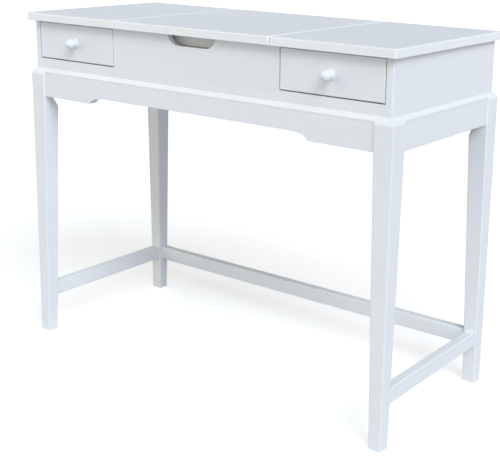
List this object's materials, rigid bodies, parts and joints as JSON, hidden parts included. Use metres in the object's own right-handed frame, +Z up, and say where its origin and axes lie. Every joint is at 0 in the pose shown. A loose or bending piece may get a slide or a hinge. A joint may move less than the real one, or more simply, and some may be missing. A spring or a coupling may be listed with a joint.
{
  "type": "dressing table",
  "caption": "Dressing table with a mirror under the hinged lid of its storage well, a drawer with a round knob on each side, and tapered legs with aprons and stretchers.",
  "frame": {"origin": "on the floor, midway between the sides and between the knobs and the rear legs", "axes": "+Z up, front towards -Y, the user's left at -X"},
  "size_m": [0.965, 0.4312, 0.762],
  "materials": {
    "white_paint": "satin white paint",
    "drawer_wood": "clear satin lacquer",
    "drawer_board": "sanded plywood",
    "zinc_steel": "bright zinc plate",
    "nickel_steel": "satin nickel plate",
    "mirror_glass": "silvered float glass",
    "backing_board": "raw hardboard"
  },
  "bodies": {
    "table": {"apron_front": "white_paint", "apron_left": "white_paint", "apron_rear": "white_paint", "apron_right": "white_paint", "case_back": "white_paint", "case_bottom": "white_paint", "case_side_left": "white_paint", "case_side_right": "white_paint", "corner_bolts": "zinc_steel", "corner_brackets": "zinc_steel", "corner_nuts": "zinc_steel", "divider_left": "white_paint", "divider_right": "white_paint", "drawer_runners": "drawer_wood", "drawer_stops": "drawer_wood", "front_panel": "white_paint", "front_rail": "white_paint", "hinge_case_leaves": "nickel_steel", "hinge_pins": "nickel_steel", "leg_front_left": "white_paint", "leg_front_right": "white_paint", "leg_rear_left": "white_paint", "leg_rear_right": "white_paint", "stay_pin": "nickel_steel", "stretcher_left": "white_paint", "stretcher_rear": "white_paint", "stretcher_right": "white_paint", "top_left": "white_paint", "top_right": "white_paint"},
    "lid": {"hinge_lid_leaves": "nickel_steel", "lid_panel": "white_paint", "mirror_backing": "backing_board", "mirror_beads": "white_paint", "mirror_frame_front": "white_paint", "mirror_frame_left": "white_paint", "mirror_frame_rear": "white_paint", "mirror_frame_right": "white_paint", "mirror_glass": "mirror_glass", "stay_pivot": "nickel_steel"},
    "stay": {"stay_arm": "nickel_steel"},
    "drawer_left": {"drawer_left_back": "drawer_wood", "drawer_left_bottom": "drawer_board", "drawer_left_front": "white_paint", "drawer_left_inner_side": "drawer_wood", "drawer_left_knob": "white_paint", "drawer_left_outer_side": "drawer_wood"},
    "drawer_right": {"drawer_right_back": "drawer_wood", "drawer_right_bottom": "drawer_board", "drawer_right_front": "white_paint", "drawer_right_inner_side": "drawer_wood", "drawer_right_knob": "white_paint", "drawer_right_outer_side": "drawer_wood"}
  },
  "joints": [
    {"name": "lid_hinge", "type": "hinge", "parent": "table", "child": "lid", "pos_m": [0, 0.21105, 0.7447], "axis": [-1, 0, 0], "range_deg": [0, 100]},
    {"name": "stay_swing", "type": "hinge", "parent": "lid", "child": "stay", "pos_m": [0.1963, 0.16544, 0.7387], "axis": [-1, 0, 0], "range_deg": [-50, 0]},
    {"name": "drawer_left_slide", "type": "slide", "parent": "table", "child": "drawer_left", "axis": [0, -1, 0], "range_m": [0, 0.25]},
    {"name": "drawer_right_slide", "type": "slide", "parent": "table", "child": "drawer_right", "axis": [0, -1, 0], "range_m": [0, 0.25]}
  ],
  "couplings": [
    {"joint": "stay_swing", "follows": "lid_hinge", "ratio": -0.5}
  ]
}
